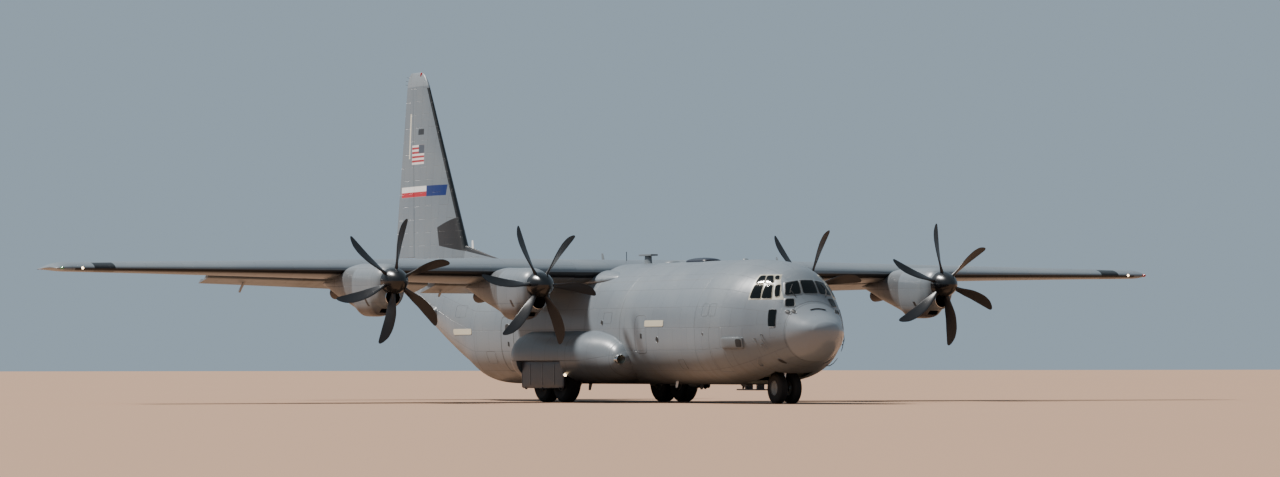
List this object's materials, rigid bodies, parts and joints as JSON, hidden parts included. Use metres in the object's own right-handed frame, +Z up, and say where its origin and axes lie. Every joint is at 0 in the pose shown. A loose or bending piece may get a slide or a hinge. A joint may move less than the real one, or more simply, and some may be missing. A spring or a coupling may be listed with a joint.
{
  "type": "four-engine military transport aeroplane, 1:2 scale model",
  "caption": "High-wing cargo aeroplane model with turning propellers, hinged control surfaces, flaps, doors and ramp, standing on its wheels.",
  "frame": {"origin": "on the ground, midway between nose tip and tail end on the plane of symmetry", "axes": "+X towards the nose, +Y to port along the wing, +Z up"},
  "size_m": [17.18, 20.205, 5.92],
  "materials": {
    "grey_paint": "matt to satin grey paint on aluminium skin, lightly streaked",
    "radome_paint": "smooth satin grey paint",
    "dark_paint": "dark blue-grey satin paint",
    "white_paint": "white gloss paint, oily",
    "steel": "bare machined metal",
    "blade_black": "glossy black spinner, matt dark blades",
    "tyre": "black rubber on light metal hubs",
    "window_glass": "dark smooth glazing",
    "floor_paint": "worn matt grey floor paint"
  },
  "bodies": {
    "airframe": {"nose_section": "grey_paint", "cockpit_window_frame": "grey_paint", "forward_fuselage": "grey_paint", "centre_fuselage": "grey_paint", "rear_fuselage": "grey_paint", "tail_section": "grey_paint", "sponson_left": "grey_paint", "sponson_right": "grey_paint", "wing_centre": "grey_paint", "wing_outer_left": "grey_paint", "wing_outer_right": "grey_paint", "nacelle_1": "grey_paint", "nacelle_2": "grey_paint", "nacelle_3": "grey_paint", "nacelle_4": "grey_paint", "fin": "grey_paint", "stabiliser": "grey_paint", "paratroop_door_left": "grey_paint", "paratroop_door_right": "grey_paint", "nose_gear_aft_door": "grey_paint", "radome": "radome_paint", "main_gear_door_left": "dark_paint", "main_gear_door_right": "dark_paint", "nose_gear_leg": "white_paint", "main_gear_struts_left": "white_paint", "main_gear_struts_right": "white_paint", "engine_block_1": "steel", "engine_block_2": "steel", "engine_block_3": "steel", "engine_block_4": "steel", "cockpit_glass": "window_glass", "corner_glass_left": "window_glass", "corner_glass_right": "window_glass", "cargo_floor": "floor_paint", "flight_deck": "floor_paint"},
    "propeller_1": {"propeller_1": "blade_black"},
    "propeller_2": {"propeller_2": "blade_black"},
    "propeller_3": {"propeller_3": "blade_black"},
    "propeller_4": {"propeller_4": "blade_black"},
    "aileron_left": {"aileron_left": "grey_paint"},
    "aileron_right": {"aileron_right": "grey_paint"},
    "elevator_left": {"elevator_left": "grey_paint"},
    "elevator_right": {"elevator_right": "grey_paint"},
    "flap_inner_left": {"flap_inner_left": "grey_paint"},
    "flap_inner_right": {"flap_inner_right": "grey_paint"},
    "flap_outer_left": {"flap_outer_left": "grey_paint"},
    "flap_outer_right": {"flap_outer_right": "grey_paint"},
    "rudder": {"rudder": "grey_paint"},
    "nose_gear_fork": {"nose_gear_fork": "steel"},
    "nose_wheels": {"nose_wheels": "tyre"},
    "crew_door": {"crew_door": "grey_paint"},
    "ramp": {"ramp": "grey_paint"},
    "aft_cargo_door": {"aft_cargo_door": "grey_paint"},
    "main_wheel_front_left": {"main_wheel_front_left": "tyre"},
    "main_wheel_front_right": {"main_wheel_front_right": "tyre"},
    "main_wheel_rear_left": {"main_wheel_rear_left": "tyre"},
    "main_wheel_rear_right": {"main_wheel_rear_right": "tyre"}
  },
  "joints": [
    {"name": "propeller_1_spin", "type": "hinge", "parent": "airframe", "child": "propeller_1", "pos_m": [3.205, 5.025, 1.965], "axis": [1, 0, 0], "continuous": true},
    {"name": "propeller_2_spin", "type": "hinge", "parent": "airframe", "child": "propeller_2", "pos_m": [3.205, 2.45, 1.915], "axis": [1, 0, 0], "continuous": true},
    {"name": "propeller_3_spin", "type": "hinge", "parent": "airframe", "child": "propeller_3", "pos_m": [3.205, -2.45, 1.915], "axis": [1, 0, 0], "continuous": true},
    {"name": "propeller_4_spin", "type": "hinge", "parent": "airframe", "child": "propeller_4", "pos_m": [3.205, -5.025, 1.965], "axis": [1, 0, 0], "continuous": true},
    {"name": "aileron_left_tilt", "type": "hinge", "parent": "airframe", "child": "aileron_left", "pos_m": [0.2337, 7.015, 2.16547], "axis": [0.0825, 0.9966, 0.0081], "range_deg": [-15, 25]},
    {"name": "aileron_right_tilt", "type": "hinge", "parent": "airframe", "child": "aileron_right", "pos_m": [0.45801, -9.725, 2.18747], "axis": [-0.0825, 0.9966, -0.0081], "range_deg": [-15, 25]},
    {"name": "elevator_left_tilt", "type": "hinge", "parent": "airframe", "child": "elevator_left", "pos_m": [-7.4415, 0.475, 2.31245], "axis": [-0.0158, 0.9999, 0.0052], "range_deg": [-15, 40]},
    {"name": "elevator_right_tilt", "type": "hinge", "parent": "airframe", "child": "elevator_right", "pos_m": [-7.49402, -3.8, 2.32961], "axis": [0.0158, 0.9999, -0.0052], "range_deg": [-15, 40]},
    {"name": "rudder_turn", "type": "hinge", "parent": "airframe", "child": "rudder", "pos_m": [-7.27971, 0, 2.57], "axis": [-0.0751, 0, 0.9972], "range_deg": [-35, 35]},
    {"name": "flap_inner_left_run", "type": "hinge", "parent": "airframe", "child": "flap_inner_left", "pos_m": [-0.10081, 1.15, 0.94225], "axis": [0, -1, -0.0054], "range_deg": [-15, 20]},
    {"name": "flap_inner_right_run", "type": "hinge", "parent": "airframe", "child": "flap_inner_right", "pos_m": [-0.10081, -2.75, 0.95084], "axis": [0, -1, 0.0054], "range_deg": [-15, 20]},
    {"name": "flap_outer_left_run", "type": "hinge", "parent": "airframe", "child": "flap_outer_left", "pos_m": [-0.09616, 2.85, 0.95211], "axis": [-0.0846, -0.9963, -0.0148], "range_deg": [-15, 20]},
    {"name": "flap_outer_right_run", "type": "hinge", "parent": "airframe", "child": "flap_outer_right", "pos_m": [0.24989, -6.925, 1.01278], "axis": [0.0846, -0.9963, 0.0148], "range_deg": [-15, 20]},
    {"name": "nose_steering", "type": "hinge", "parent": "airframe", "child": "nose_gear_fork", "pos_m": [7.08, 0, 0.4], "axis": [0, 0, 1], "range_deg": [-60, 60]},
    {"name": "nose_wheel_spin", "type": "hinge", "parent": "nose_gear_fork", "child": "nose_wheels", "pos_m": [7.08, 0, 0.2475], "axis": [0, 1, 0], "continuous": true},
    {"name": "main_wheel_front_left_spin", "type": "hinge", "parent": "airframe", "child": "main_wheel_front_left", "pos_m": [1.3, 1.0875, 0.355], "axis": [0, 1, 0], "continuous": true},
    {"name": "main_wheel_rear_left_spin", "type": "hinge", "parent": "airframe", "child": "main_wheel_rear_left", "pos_m": [0.54, 1.0875, 0.355], "axis": [0, 1, 0], "continuous": true},
    {"name": "main_wheel_front_right_spin", "type": "hinge", "parent": "airframe", "child": "main_wheel_front_right", "pos_m": [1.3, -1.0875, 0.355], "axis": [0, 1, 0], "continuous": true},
    {"name": "main_wheel_rear_right_spin", "type": "hinge", "parent": "airframe", "child": "main_wheel_rear_right", "pos_m": [0.54, -1.0875, 0.355], "axis": [0, 1, 0], "continuous": true},
    {"name": "crew_door_swing", "type": "hinge", "parent": "airframe", "child": "crew_door", "pos_m": [6.9, 0.6735, 0.49], "axis": [-0.965, 0.2624, 0], "range_deg": [0, 85]},
    {"name": "ramp_lower", "type": "hinge", "parent": "airframe", "child": "ramp", "pos_m": [-2.475, 0, 0.325], "axis": [0, -1, 0], "range_deg": [0, 26]},
    {"name": "aft_cargo_door_lift", "type": "hinge", "parent": "airframe", "child": "aft_cargo_door", "pos_m": [-6.46, 0, 1.63], "axis": [0, -1, 0], "range_deg": [0, 22]}
  ],
  "couplings": [
    {"joint": "elevator_right_tilt", "follows": "elevator_left_tilt", "ratio": 1},
    {"joint": "flap_inner_right_run", "follows": "flap_inner_left_run", "ratio": 1},
    {"joint": "flap_outer_left_run", "follows": "flap_inner_left_run", "ratio": 1},
    {"joint": "flap_outer_right_run", "follows": "flap_inner_left_run", "ratio": 1}
  ]
}
